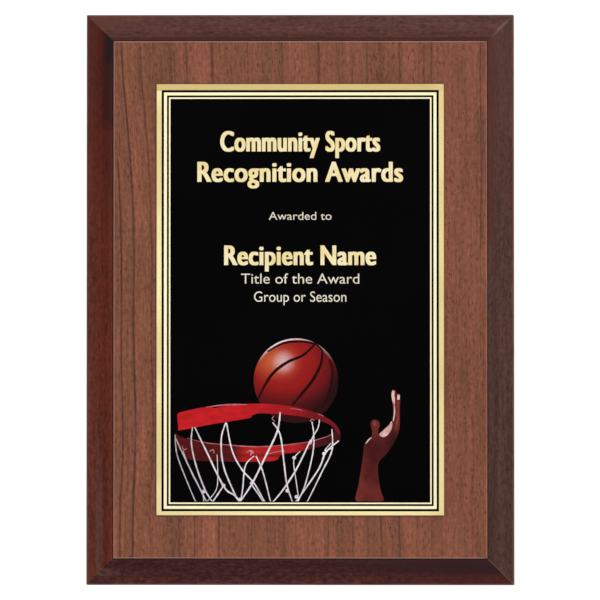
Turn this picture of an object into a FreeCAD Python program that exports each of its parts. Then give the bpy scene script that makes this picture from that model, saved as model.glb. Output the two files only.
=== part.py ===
import FreeCAD, Part
import os

import Sketcher

# A wall plaque. +Z is up, the front faces -Y, the back lies in the plane y = 0 and the origin is the
# centre of the back. Millimetres. "Depth" is always measured forwards from the back, so a depth d is
# the plane y = -d. Each size below is a cell of the spreadsheet, and every sub-part is bound to it.

SIZES = {
    # The board: a core with a moulding along each edge, a veneer on its face and a liner on its back.
    "board_width": 228.6,
    "board_height": 304.8,
    "board_depth": 15.9,
    "band_width": 15.2,             # width of the moulding that shows round the veneer
    "corner_radius": 1.0,           # outer corners of the board
    "veneer_thick": 1.0,
    "veneer_bevel": 0.7,
    "liner_thick": 0.5,
    "liner_inset": 4.0,
    # Section of the moulding.
    "edge_depth": 8.0,              # depth of the outer arris
    "arris_radius": 1.5,
    "cove_top_depth": 14.4,
    "cove_sag": 1.45,               # how far the cove dips below its chord, at half width
    "quirk_width": 0.6,             # narrow groove between the cove and the veneer
    "quirk_depth": 0.6,
    "lip_width": 0.6,               # part of the moulding that the veneer covers
    # Tongue of the core and the groove in the mouldings.
    "tongue_back": 5.5,
    "tongue_thick": 4.0,
    "groove_reach": 5.0,
    "groove_slack": 0.3,
    # The award plate and what is printed on it.
    "plate_width": 152.4,
    "plate_height": 228.6,
    "plate_thick": 0.8,
    "plate_bevel": 0.15,
    "tape_thick": 0.15,
    "tape_inset": 2.0,
    "ink_thick": 0.05,
    "print_drop": 0.55,             # the print sits this much below the centre of the plate
    "outer_line_margin": 2.87,
    "outer_line_width": 1.05,
    "inner_line_margin": 5.72,
    "inner_line_width": 0.8,
    "field_margin": 7.43,
    # Keyhole hangers, in their own frame: long side across, slot upwards.
    "hanger_length": 50.0,
    "hanger_height": 19.0,
    "hanger_thick": 2.0,
    "hanger_sunk": 0.1,             # below the back of the core
    "hanger_bevel": 0.3,
    "hanger_play": 0.25,            # between the hanger and its recess
    "keyhole_radius": 4.75,
    "keyhole_drop": 3.0,            # entry hole, below the middle of the hanger
    "slot_width": 4.5,
    "slot_rise": 4.0,               # end of the slot, above the middle of the hanger
    "cavity_radius": 5.5,
    "cavity_depth": 7.0,
    "liner_play": 1.0,              # round the hanger in the liner
    "portrait_height": 107.4,       # hanger for upright display, above the centre
    "landscape_offset": 74.3,       # hanger for sideways display, to the left of the centre
    # Hanger screws.
    "screw_spacing": 36.0,
    "screw_length": 10.0,
    "screw_head_radius": 2.9,
    "screw_radius": 1.4,
    "screw_root_radius": 1.05,
    "screw_pitch": 1.2,
    "screw_tip": 2.4,
    "screw_play": 0.1,
    "screw_head_rim": 0.3,
    "recess_half_width": 0.4,
    "recess_reach": 1.5,
    "recess_depth": 1.1,
}

# Lengths that several sub-parts share.
CORE_FRONT = "(sizes.board_depth - sizes.veneer_thick)"
CORE_INSET = "(sizes.band_width + sizes.lip_width)"
PLATE_BACK = "(sizes.board_depth + sizes.tape_thick)"
PRINT_BACK = "(sizes.board_depth + sizes.tape_thick + sizes.plate_thick)"
HANGER_BACK = "(sizes.liner_thick + sizes.hanger_sunk)"
HANGER_FRONT = "(sizes.liner_thick + sizes.hanger_sunk + sizes.hanger_thick)"
COS_45 = "sqrt(0.5)"
HALF_SPACING = "sizes.screw_spacing / 2"

FACE = "XZ_Plane"                   # seen from the front: x to the right, z up, pads grow forwards
SECTION = "YZ_Plane"                # seen from the right-hand end: y to the back, z up
PLAN = "XY_Plane"
TOLERANCE = 1e-4

# Name, centre (x, z) and turn of each hanger. The slot points to the edge that is up on the wall.
HANGERS = [
    ("portrait", ("0", "sizes.portrait_height"), 0),
    ("landscape", ("-sizes.landscape_offset", "0"), 90),
]

doc = FreeCAD.newDocument("plaque")
sub_parts = []


def make_sheet():
    sheet = doc.addObject("Spreadsheet::Sheet", "sizes")
    for row, (alias, value) in enumerate(SIZES.items(), start=1):
        sheet.set(f"A{row}", alias)
        sheet.set(f"B{row}", str(value))
        sheet.setAlias(f"B{row}", alias)
    doc.recompute()


def new_body(label):
    body = doc.addObject("PartDesign::Body", label)
    body.Label = label
    sub_parts.append(body)
    return body


def place(body, x="0", y="0", z="0", turn=0):
    """Put a body at (x, y, z), given as expressions, turned about the Y axis by whole degrees."""
    body.Placement = FreeCAD.Placement(FreeCAD.Vector(), FreeCAD.Rotation(FreeCAD.Vector(0, 1, 0), turn))
    for axis, term in zip("xyz", (x, y, z)):
        body.setExpression(f"Placement.Base.{axis}", term)


def new_sketch(body, name, plane=FACE, lift="0", shift=("0", "0"), turn=0):
    """A sketch on one of the body's own origin planes, lifted off it and shifted or turned within it."""
    sketch = body.newObject("Sketcher::SketchObject", name)
    support = [item for item in body.Origin.OriginFeatures if item.Role == plane][0]
    sketch.AttachmentSupport = (support, "")
    sketch.MapMode = "FlatFace"
    sketch.AttachmentOffset = FreeCAD.Placement(
        FreeCAD.Vector(), FreeCAD.Rotation(FreeCAD.Vector(0, 0, 1), turn))
    for axis, term in zip("xyz", (*shift, lift)):
        sketch.setExpression(f"AttachmentOffset.Base.{axis}", term)
    return sketch


def pin_point(sketch, geometry, end, x, y):
    """Hold a point of the sketch at coordinates given as expressions."""
    for kind, term in (("DistanceX", x), ("DistanceY", y)):
        value = float(sketch.evalExpression(term))
        constraint = sketch.addConstraint(Sketcher.Constraint(kind, geometry, end, value))
        sketch.setExpression(f"Constraints[{constraint}]", term)


def draw_outline(sketch, corners):
    """Draw a closed outline. A corner is (x, y), or (x, y, via_x, via_y) if an arc by via leads to it."""
    points = []
    for corner in corners:
        numbers = [float(sketch.evalExpression(term)) for term in corner]
        points.append([FreeCAD.Vector(x, y, 0) for x, y in zip(numbers[::2], numbers[1::2])])
    edges = []
    for index, corner in enumerate(corners):
        start = points[index - 1][0]
        end = points[index][0]
        if len(corner) == 2:
            edges.append((sketch.addGeometry(Part.LineSegment(start, end)), 1, 2))
            continue
        via = points[index][1]
        ends_swap = (via - start).cross(end - via).z < 0
        if ends_swap:
            edges.append((sketch.addGeometry(Part.ArcOfCircle(end, via, start)), 2, 1))
        else:
            edges.append((sketch.addGeometry(Part.ArcOfCircle(start, via, end)), 1, 2))
        mark = sketch.addGeometry(Part.Point(via), True)
        sketch.addConstraint(Sketcher.Constraint("PointOnObject", mark, 1, edges[-1][0]))
        pin_point(sketch, mark, 1, corner[2], corner[3])
    for index, corner in enumerate(corners):
        edge, _, last = edges[index]
        following, first, _ = edges[(index + 1) % len(edges)]
        sketch.addConstraint(Sketcher.Constraint("Coincident", edge, last, following, first))
        pin_point(sketch, edge, last, corner[0], corner[1])


def draw_inset(sketch, piece, inset="0", centre_y="0"):
    """A rectangle set in all round from the outline of the board or of the plate."""
    half_x = f"(sizes.{piece}_width / 2 - {inset})"
    half_y = f"(sizes.{piece}_height / 2 - {inset})"
    low, high = f"{centre_y} - {half_y}", f"{centre_y} + {half_y}"
    draw_outline(sketch, [(f"-{half_x}", low), (half_x, low), (half_x, high), (f"-{half_x}", high)])


def draw_hanger_outline(sketch, play="0"):
    """The round-ended outline of a hanger, wider all round by the play."""
    reach = f"(sizes.hanger_length / 2 + {play})"
    radius = f"(sizes.hanger_height / 2 + {play})"
    middle = f"({reach} - {radius})"
    draw_outline(sketch, [
        (f"-{middle}", f"-{radius}", f"-{reach}", "0"),
        (middle, f"-{radius}"),
        (middle, radius, reach, "0"),
        (f"-{middle}", radius),
    ])


def draw_circle(sketch, x, y, radius):
    centre = FreeCAD.Vector(float(sketch.evalExpression(x)), float(sketch.evalExpression(y)), 0)
    size = float(sketch.evalExpression(radius))
    circle = sketch.addGeometry(Part.Circle(centre, FreeCAD.Vector(0, 0, 1), size))
    pin_point(sketch, circle, 3, x, y)
    constraint = sketch.addConstraint(Sketcher.Constraint("Radius", circle, size))
    sketch.setExpression(f"Constraints[{constraint}]", radius)


def pad(body, sketch, length, both_ways=False):
    feature = body.newObject("PartDesign::Pad", f"{sketch.Name}_pad")
    feature.Profile = sketch
    feature.Midplane = both_ways
    feature.setExpression("Length", length)
    body.Tip = feature
    doc.recompute()


def cut(body, sketch, length):
    """Pocket forwards from a face sketch, and make sure that it took something away."""
    volume = body.Shape.Volume
    feature = body.newObject("PartDesign::Pocket", f"{sketch.Name}_cut")
    feature.Profile = sketch
    feature.Reversed = True
    feature.setExpression("Length", length)
    body.Tip = feature
    doc.recompute()
    if body.Shape.Volume > volume - TOLERANCE:
        raise RuntimeError(f"{feature.Name} cuts nothing")


def bevel(body, size, chosen):
    """Chamfer the edges of the body's last feature that the function chosen picks."""
    base = body.Tip
    names = [f"Edge{number}" for number, edge in enumerate(base.Shape.Edges, start=1) if chosen(edge)]
    feature = body.newObject("PartDesign::Chamfer", f"{body.Name}_bevel")
    feature.Base = (base, names)
    feature.setExpression("Size", size)
    body.Tip = feature
    doc.recompute()


def size_of(term):
    return float(doc.getObject("sizes").evalExpression(term))


def lies_at_depth(depth):
    """A test for edges that lie wholly in the plane at this depth."""
    plane = -size_of(depth)

    def chosen(edge):
        box = edge.BoundBox
        return abs(box.YMin - plane) < TOLERANCE and abs(box.YMax - plane) < TOLERANCE
    return chosen


def make_core():
    """The core, with a tongue all round, a recess and a screw-head cavity behind each hanger."""
    body = new_body("core_board")
    panel = new_sketch(body, "core_panel", lift="sizes.liner_thick")
    draw_inset(panel, "board", CORE_INSET)
    pad(body, panel, f"{CORE_FRONT} - sizes.liner_thick")
    tongue = new_sketch(body, "core_tongue", lift="sizes.tongue_back")
    draw_inset(tongue, "board", f"({CORE_INSET} - sizes.groove_reach + sizes.groove_slack)")
    pad(body, tongue, "sizes.tongue_thick")
    for name, shift, turn in HANGERS:
        where = {"shift": shift, "turn": turn}
        recess = new_sketch(body, f"core_recess_{name}", lift="sizes.liner_thick", **where)
        draw_hanger_outline(recess, "sizes.hanger_play")
        cut(body, recess, "sizes.hanger_sunk + sizes.hanger_thick")
        cavity = new_sketch(body, f"core_cavity_{name}", lift=HANGER_FRONT, **where)
        draw_cavity(cavity)
        cut(body, cavity, "sizes.cavity_depth")
        pilots = new_sketch(body, f"core_pilots_{name}", lift=HANGER_FRONT, **where)
        for side in ("-", ""):
            draw_circle(pilots, f"{side}{HALF_SPACING}", "0", "sizes.screw_radius + sizes.screw_play")
        cut(body, pilots, "sizes.screw_length - sizes.hanger_thick + sizes.screw_play")
    place(body)


def draw_cavity(sketch):
    """An upright strip with round ends, centred on the entry hole and on the end of the slot."""
    low, high = "-sizes.keyhole_drop", "sizes.slot_rise"
    radius = "sizes.cavity_radius"
    draw_outline(sketch, [
        (f"-{radius}", high, "0", f"{high} + {radius}"),
        (f"-{radius}", low),
        (radius, low, "0", f"{low} - {radius}"),
        (radius, high),
    ])


def make_veneer():
    body = new_body("face_veneer")
    face = new_sketch(body, "veneer_face", lift=CORE_FRONT)
    draw_inset(face, "board", "sizes.band_width")
    pad(body, face, "sizes.veneer_thick")
    bevel(body, "sizes.veneer_bevel", lies_at_depth("sizes.board_depth"))
    place(body)


def make_liner():
    """The sheet glued over the back, open round each hanger."""
    body = new_body("back_liner")
    sheet = new_sketch(body, "liner_sheet")
    draw_inset(sheet, "board", "sizes.liner_inset")
    pad(body, sheet, "sizes.liner_thick")
    for name, shift, turn in HANGERS:
        window = new_sketch(body, f"liner_window_{name}", shift=shift, turn=turn)
        draw_hanger_outline(window, "sizes.liner_play")
        cut(body, window, "sizes.liner_thick")
    place(body)


def make_moulding(side, length, x, z, turn):
    """One mitred moulding: its own x runs along the edge, its own z from the outer edge inwards."""
    body = new_body(f"edge_moulding_{side}")
    back = "-sizes.liner_thick"
    arris = "sizes.arris_radius"
    crest = "(sizes.band_width - sizes.quirk_width)"
    quirk_floor = "-(sizes.cove_top_depth - sizes.quirk_depth)"
    groove_end = f"{CORE_INSET} - sizes.groove_reach"
    groove_front = "-(sizes.tongue_back + sizes.tongue_thick)"
    section = new_sketch(body, f"section_{side}", plane=SECTION)
    draw_outline(section, [
        (back, "0"),
        (f"-(sizes.edge_depth - {arris})", "0"),
        ("-sizes.edge_depth", arris,
         f"-(sizes.edge_depth - {arris} * (1 - {COS_45}))", f"{arris} * (1 - {COS_45})"),
        ("-sizes.cove_top_depth", crest,
         "-((sizes.edge_depth + sizes.cove_top_depth) / 2 - sizes.cove_sag)", f"({arris} + {crest}) / 2"),
        (quirk_floor, crest),
        (quirk_floor, "sizes.band_width"),
        (f"-{CORE_FRONT}", "sizes.band_width"),
        (f"-{CORE_FRONT}", CORE_INSET),
        (groove_front, CORE_INSET),
        (groove_front, groove_end),
        ("-sizes.tongue_back", groove_end),
        ("-sizes.tongue_back", CORE_INSET),
        (back, CORE_INSET),
    ])
    pad(body, section, length, both_ways=True)
    for end, sign in (("start", "-"), ("end", "")):
        mitre = new_sketch(body, f"mitre_{side}_{end}")
        draw_mitre(mitre, f"{length} / 2", sign)
        cut(body, mitre, "sizes.board_depth")
    place(body, x=x, z=z, turn=turn)


def draw_mitre(sketch, half_length, sign):
    """What is sawn off one end of a moulding: a mitre, with half of the rounded outer corner."""
    radius = "sizes.corner_radius"
    turned = f"{radius} * (1 - {COS_45})"
    past = "sizes.band_width * 2"

    def across(inwards):
        return f"{sign}({half_length} - {inwards})"

    draw_outline(sketch, [
        (across(radius), "0"),
        (across(turned), turned, across(f"{radius} * (1 - sin(22.5deg))"), f"{radius} * (1 - cos(22.5deg))"),
        (across(past), past),
        (across(f"(-{past})"), past),
        (across(f"(-{past})"), f"-{past}"),
        (across(radius), f"-{past}"),
    ])


def make_plate():
    """The metal plate and the adhesive sheet that holds it to the veneer."""
    tape = new_body("plate_tape")
    sheet = new_sketch(tape, "tape_sheet", lift="sizes.board_depth")
    draw_inset(sheet, "plate", "sizes.tape_inset")
    pad(tape, sheet, "sizes.tape_thick")
    place(tape)
    plate = new_body("award_plate")
    blank = new_sketch(plate, "plate_blank", lift=PLATE_BACK)
    draw_inset(blank, "plate")
    pad(plate, blank, "sizes.plate_thick")
    bevel(plate, "sizes.plate_bevel", lies_at_depth(PRINT_BACK))
    place(plate)


def make_print():
    """The printed layers: two fine frames, the dark field and the colours printed over the field."""
    for name in ("outer_line", "inner_line"):
        body = new_body(f"{name}_print")
        frame = new_sketch(body, f"{name}_frame", lift=PRINT_BACK)
        for inset in (f"sizes.{name}_margin", f"(sizes.{name}_margin + sizes.{name}_width)"):
            draw_inset(frame, "plate", inset, centre_y="-sizes.print_drop")
        pad(body, frame, "sizes.ink_thick")
        place(body)
    for name, back in (("field", PRINT_BACK), ("colour", f"({PRINT_BACK} + sizes.ink_thick)")):
        body = new_body(f"{name}_print")
        area = new_sketch(body, f"{name}_area", lift=back)
        draw_inset(area, "plate", "sizes.field_margin", centre_y="-sizes.print_drop")
        pad(body, area, "sizes.ink_thick")
        place(body)


def make_hanger(name, shift, turn):
    """A keyhole plate with two countersunk holes; the wall screw's head enters low and slides up."""
    body = new_body(f"keyhole_hanger_{name}")
    blank = new_sketch(body, f"hanger_blank_{name}", lift=HANGER_BACK)
    draw_hanger_outline(blank)
    pad(body, blank, "sizes.hanger_thick")
    bevel(body, "sizes.hanger_bevel", lies_at_depth(HANGER_BACK))
    keyhole = new_sketch(body, f"keyhole_{name}", lift=HANGER_BACK)
    half_slot = "sizes.slot_width / 2"
    meeting = f"sqrt(sizes.keyhole_radius ^ 2 - ({half_slot}) ^ 2) - sizes.keyhole_drop"
    draw_outline(keyhole, [
        (f"-{half_slot}", meeting),
        (half_slot, meeting, "0", "-sizes.keyhole_drop - sizes.keyhole_radius"),
        (half_slot, "sizes.slot_rise"),
        (f"-{half_slot}", "sizes.slot_rise", "0", f"sizes.slot_rise + {half_slot}"),
    ])
    cut(body, keyhole, "sizes.hanger_thick")
    holes = new_sketch(body, f"hanger_holes_{name}", lift=HANGER_BACK)
    hole_radius = "(sizes.screw_radius + sizes.screw_play)"
    for side in ("-", ""):
        draw_circle(holes, f"{side}{HALF_SPACING}", "0", hole_radius)
    cut(body, holes, "sizes.hanger_thick")
    at_back = lies_at_depth(HANGER_BACK)
    rim = size_of(hole_radius)

    def is_screw_hole(edge):
        if not at_back(edge) or not isinstance(edge.Curve, Part.Circle):
            return False
        return abs(edge.Curve.Radius - rim) < TOLERANCE
    countersink_radius = "sizes.screw_head_radius + sizes.screw_head_rim + sizes.screw_play"
    bevel(body, f"{countersink_radius} - {hole_radius}", is_screw_hole)
    place(body, x=shift[0], z=shift[1], turn=-turn)


def make_screw(name, x, z):
    """A countersunk wood screw with a cross recess. Rings stand for the thread, as fine as its pitch."""
    body = new_body(f"hanger_screw_{name}")
    cone_end = "(sizes.screw_head_rim + sizes.screw_head_radius - sizes.screw_root_radius)"
    corners = [
        ("0", "0"),
        ("0", "-sizes.screw_length"),
    ]
    first_ring = f"(sizes.screw_length - sizes.screw_tip)"
    rings = int((size_of(first_ring) - size_of(cone_end)) // size_of("sizes.screw_pitch"))
    for ring in range(rings):
        depth = f"({first_ring} - {ring} * sizes.screw_pitch)"
        corners.append(("sizes.screw_root_radius", f"-{depth}"))
        corners.append(("sizes.screw_radius", f"-({depth} - sizes.screw_pitch / 2)"))
    corners += [
        ("sizes.screw_root_radius", f"-({first_ring} - {rings} * sizes.screw_pitch)"),
        ("sizes.screw_root_radius", f"-{cone_end}"),
        ("sizes.screw_head_radius", "-sizes.screw_head_rim"),
        ("sizes.screw_head_radius", "0"),
    ]
    profile = new_sketch(body, f"profile_{name}", plane=PLAN)
    draw_outline(profile, corners)
    turned = body.newObject("PartDesign::Revolution", f"turned_{name}")
    turned.Profile = profile
    turned.ReferenceAxis = (profile, ["V_Axis"])
    turned.Angle = 360
    body.Tip = turned
    doc.recompute()
    cross = new_sketch(body, f"cross_{name}")
    arm, reach = "sizes.recess_half_width", "sizes.recess_reach"
    draw_outline(cross, [
        (f"-{arm}", f"-{reach}"), (arm, f"-{reach}"), (arm, f"-{arm}"), (reach, f"-{arm}"),
        (reach, arm), (arm, arm), (arm, reach), (f"-{arm}", reach),
        (f"-{arm}", arm), (f"-{reach}", arm), (f"-{reach}", f"-{arm}"), (f"-{arm}", f"-{arm}"),
    ])
    cut(body, cross, "sizes.recess_depth")
    place(body, x=x, y=f"-{HANGER_BACK}", z=z)


def check_document():
    for item in doc.Objects:
        if {"Invalid", "Error"} & set(item.State):
            raise RuntimeError(f"{item.Name} failed: {item.State}")
    for body in sub_parts:
        if body.Shape.isNull() or not body.Shape.isValid() or len(body.Shape.Solids) != 1:
            raise RuntimeError(f"{body.Label} is not one valid solid")


def export_sub_parts():
    os.makedirs("parts", exist_ok=True)
    for body in sub_parts:
        body.Shape.exportStep(f"parts/{body.Label}.step")
        box = body.Shape.BoundBox
        print(f"{body.Label:26s} {box.XLength:8.2f} {box.YLength:7.2f} {box.ZLength:8.2f} mm")


make_sheet()
make_core()
make_veneer()
make_liner()
make_moulding("bottom", "sizes.board_width", "0", "-sizes.board_height / 2", 0)
make_moulding("top", "sizes.board_width", "0", "sizes.board_height / 2", 180)
make_moulding("left", "sizes.board_height", "-sizes.board_width / 2", "0", 90)
make_moulding("right", "sizes.board_height", "sizes.board_width / 2", "0", -90)
make_plate()
make_print()
for hanger in HANGERS:
    make_hanger(*hanger)
make_screw("portrait_left", f"-{HALF_SPACING}", "sizes.portrait_height")
make_screw("portrait_right", HALF_SPACING, "sizes.portrait_height")
make_screw("landscape_upper", "-sizes.landscape_offset", HALF_SPACING)
make_screw("landscape_lower", "-sizes.landscape_offset", f"-{HALF_SPACING}")
doc.recompute()
check_document()
export_sub_parts()
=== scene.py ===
"""Looks of the upright wooden wall plaque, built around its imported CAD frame."""

import math

import bmesh
import bpy
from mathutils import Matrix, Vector
from mathutils.geometry import tessellate_polygon


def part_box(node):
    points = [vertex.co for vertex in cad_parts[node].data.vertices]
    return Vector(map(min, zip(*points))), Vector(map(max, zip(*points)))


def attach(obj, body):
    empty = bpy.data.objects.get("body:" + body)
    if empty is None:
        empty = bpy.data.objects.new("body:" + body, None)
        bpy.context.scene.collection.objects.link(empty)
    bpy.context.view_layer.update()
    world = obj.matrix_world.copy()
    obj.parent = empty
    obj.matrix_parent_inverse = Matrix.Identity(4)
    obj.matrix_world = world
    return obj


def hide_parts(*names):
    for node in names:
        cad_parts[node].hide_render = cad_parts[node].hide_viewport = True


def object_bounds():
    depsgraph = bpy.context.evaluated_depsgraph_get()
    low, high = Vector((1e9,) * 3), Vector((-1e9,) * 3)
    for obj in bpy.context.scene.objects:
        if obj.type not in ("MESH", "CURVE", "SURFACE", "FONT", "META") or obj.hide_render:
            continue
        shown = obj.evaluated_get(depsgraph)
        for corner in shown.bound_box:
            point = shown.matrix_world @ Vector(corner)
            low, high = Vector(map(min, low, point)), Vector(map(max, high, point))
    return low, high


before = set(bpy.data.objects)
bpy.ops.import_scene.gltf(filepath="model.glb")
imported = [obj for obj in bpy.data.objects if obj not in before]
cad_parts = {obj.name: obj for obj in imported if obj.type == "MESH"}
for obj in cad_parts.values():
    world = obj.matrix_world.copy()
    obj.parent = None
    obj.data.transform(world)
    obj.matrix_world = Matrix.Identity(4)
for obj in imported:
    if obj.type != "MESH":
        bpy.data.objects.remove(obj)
cad_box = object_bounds()

MM = 0.001
BODY = "root"


# ---------------------------------------------------------------- node trees

def tone(red, green, blue):
    """A linear colour from the 0-255 values that it has on a screen."""
    channels = []
    for value in (red, green, blue):
        share = value / 255
        if share <= 0.04045:
            channels.append(share / 12.92)
        else:
            channels.append(((share + 0.055) / 1.055) ** 2.4)
    return (*channels, 1.0)


class Shader:
    """One material: a principled surface and the nodes that feed it."""

    def __init__(self, name):
        self.material = bpy.data.materials.new(name)
        self.material.use_nodes = True
        self.tree = self.material.node_tree
        self.tree.nodes.clear()
        output = self.add("ShaderNodeOutputMaterial")
        self.surface = self.add("ShaderNodeBsdfPrincipled")
        self.tree.links.new(self.surface.outputs["BSDF"], output.inputs["Surface"])
        self.place = self.add("ShaderNodeTexCoord").outputs["Object"]
        apart = self.add("ShaderNodeSeparateXYZ")
        self.feed(apart.inputs[0], self.place)
        self.x, self.y, self.z = apart.outputs

    def add(self, kind):
        return self.tree.nodes.new(kind)

    def feed(self, socket, value):
        if isinstance(value, bpy.types.NodeSocket):
            self.tree.links.new(value, socket)
        else:
            socket.default_value = value

    def math(self, operation, *values, clamp=False):
        node = self.add("ShaderNodeMath")
        node.operation = operation
        node.use_clamp = clamp
        for socket, value in zip(node.inputs, values):
            self.feed(socket, value)
        return node.outputs[0]

    def times(self, first, *others):
        """The product of two or more values."""
        for value in others:
            first = self.math("MULTIPLY", first, value)
        return first

    def near(self, value, centre, inner, outer, peak=1.0):
        """The peak within inner of a centre, and nothing past outer; all in metres."""
        gap = self.math("ABSOLUTE", self.math("SUBTRACT", value, centre))
        return self.span(gap, inner, outer, peak, 0.0)

    def join(self, x, y, z):
        node = self.add("ShaderNodeCombineXYZ")
        for socket, value in zip(node.inputs, (x, y, z)):
            self.feed(socket, value)
        return node.outputs[0]

    def stretch(self, vector, per_metre, shift=(0.0, 0.0, 0.0)):
        """The place in cells, with the number of cells per metre along each axis."""
        node = self.add("ShaderNodeMapping")
        self.feed(node.inputs["Vector"], vector)
        node.inputs["Scale"].default_value = per_metre
        node.inputs["Location"].default_value = shift
        return node.outputs[0]

    def noise(self, vector, per_metre, detail=2.0, rough=0.5, shift=(0.0, 0.0, 0.0)):
        node = self.add("ShaderNodeTexNoise")
        self.feed(node.inputs["Vector"], self.stretch(vector, per_metre, shift))
        node.inputs["Scale"].default_value = 1.0
        node.inputs["Detail"].default_value = detail
        node.inputs["Roughness"].default_value = rough
        return node.outputs["Fac"]

    def cells(self, vector, per_metre, output="Distance"):
        node = self.add("ShaderNodeTexVoronoi")
        self.feed(node.inputs["Vector"], self.stretch(vector, per_metre))
        node.inputs["Scale"].default_value = 1.0
        return node.outputs[output]

    def span(self, value, low, high, to_low=0.0, to_high=1.0, smooth=True):
        """Maps low..high to to_low..to_high, held at both ends."""
        node = self.add("ShaderNodeMapRange")
        node.interpolation_type = "SMOOTHSTEP" if smooth else "LINEAR"
        for socket, number in zip(node.inputs, (value, low, high, to_low, to_high)):
            self.feed(socket, number)
        return node.outputs[0]

    def curve(self, value, points):
        """A smooth curve through points of (value, result), both in metres."""
        low = points[0][0]
        high = points[-1][0]
        top = max(result for _, result in points)
        node = self.add("ShaderNodeFloatCurve")
        share = self.span(value, low, high, smooth=False)
        self.feed(node.inputs["Value"], share)
        line = node.mapping.curves[0]
        while len(line.points) < len(points):
            line.points.new(0.5, 0.5)
        for point, (at, result) in zip(line.points, points):
            point.location = ((at - low) / (high - low), result / top)
        node.mapping.update()
        return self.math("MULTIPLY", node.outputs[0], top)

    def blend(self, share, first, second):
        node = self.add("ShaderNodeMix")
        node.data_type = "RGBA"
        self.feed(node.inputs[0], share)
        self.feed(node.inputs[6], first)
        self.feed(node.inputs[7], second)
        return node.outputs[2]

    def shade(self, colour, factor):
        """The colour made darker or lighter by a number."""
        node = self.add("ShaderNodeVectorMath")
        node.operation = "SCALE"
        self.feed(node.inputs[0], colour)
        self.feed(node.inputs["Scale"], factor)
        return node.outputs[0]

    def bump(self, height, depth, strength=1.0):
        node = self.add("ShaderNodeBump")
        self.feed(node.inputs["Height"], height)
        node.inputs["Distance"].default_value = depth
        node.inputs["Strength"].default_value = strength
        self.feed(self.surface.inputs["Normal"], node.outputs[0])

    def finish(self, colour, rough, metallic=0.0, specular=0.5):
        self.feed(self.surface.inputs["Base Color"], colour)
        self.feed(self.surface.inputs["Roughness"], rough)
        self.surface.inputs["Metallic"].default_value = metallic
        self.surface.inputs["Specular IOR Level"].default_value = specular
        return self.material


# ---------------------------------------------------------------- wood

# Dark lines of the veneer's figure: centre and half width in mm, darkness,
# and the lowest and highest height in mm that they reach.
FIGURE_LINES = (
    (-102.3, 0.75, 0.55, -150, 74),
    (-95.7, 0.80, 0.62, -150, 150),
    (-86.3, 0.80, 0.40, -150, 150),
    (-70.0, 0.70, 0.22, -150, 150),
    (-61.2, 0.75, 0.42, -150, 150),
    (-47.6, 1.00, 0.42, -150, 150),
    (-28.0, 0.60, 0.30, -150, 150),
    (-9.8, 0.65, 0.34, -150, 150),
    (9.6, 0.60, 0.40, 0, 150),
    (14.4, 0.60, 0.30, -150, 0),
    (27.6, 0.60, 0.34, -150, 150),
    (35.5, 0.80, 0.26, -150, 150),
    (42.6, 1.00, 0.30, -150, 150),
    (52.4, 0.70, 0.40, -150, 150),
    (61.6, 0.80, 0.26, -150, 60),
    (65.6, 0.70, 0.28, 60, 150),
    (69.5, 0.80, 0.28, -150, 150),
    (90.8, 0.90, 0.26, -150, -60),
    (95.4, 0.70, 0.34, 25, 150),
)

# Broad bands: centre and half width in mm, strength, and which way they turn
# the colour: olive brown or light red.
FIGURE_BANDS = (
    (-98.5, 2.5, 0.35, "olive"),
    (-72.0, 6.5, 0.75, "olive"),
    (-53.5, 5.0, 0.75, "red"),
    (-37.0, 6.0, 0.40, "olive"),
    (-18.0, 3.2, 0.65, "olive"),
    (-2.0, 6.5, 0.35, "red"),
    (21.0, 3.5, 0.60, "olive"),
    (39.0, 6.5, 0.55, "olive"),
    (57.5, 3.5, 0.45, "red"),
    (80.0, 5.5, 0.30, "red"),
    (90.0, 3.0, 0.35, "red"),
)

# How far the figure has drifted to the right at each height, in mm.
FIGURE_DRIFT = (
    (-150, 6.6),
    (-111, 6.9),
    (-80, 8.4),
    (-20, 7.6),
    (26, 7.9),
    (60, 6.6),
    (80, 5.2),
    (95, 3.6),
    (125, 1.2),
    (150, 0.0),
)


def window(s, z, low, high):
    """One between two heights in mm, fading over a few millimetres."""
    fade = 5 * MM
    rise = s.span(z, low * MM - fade, low * MM + fade)
    fall = s.span(z, high * MM - fade, high * MM + fade, 1.0, 0.0)
    return s.times(rise, fall)


def beyond(s, node):
    """How far a place lies outside the outline of a flat node, in metres."""
    corner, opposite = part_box(node)
    lift = (corner.z + opposite.z) / 2
    beside = s.math("SUBTRACT", s.math("ABSOLUTE", s.x), opposite.x)
    above = s.math("ABSOLUTE", s.math("SUBTRACT", s.z, lift))
    above = s.math("SUBTRACT", above, opposite.z - lift)
    return s.math("MAXIMUM", beside, above)


def figure_place(s):
    """The distance across the veneer's figure, which drifts and wavers."""
    drift = s.curve(s.z, [(a * MM, b * MM) for a, b in FIGURE_DRIFT])
    share = s.span(s.x, -85 * MM, 15 * MM, 1.0, 0.05)
    straight = s.math("SUBTRACT", s.x, s.times(drift, share))
    waver = s.noise(s.place, (28, 1, 16), detail=2.0)
    waver = s.times(s.math("SUBTRACT", waver, 0.5), 2.6 * MM)
    return s.math("ADD", straight, waver)


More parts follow.
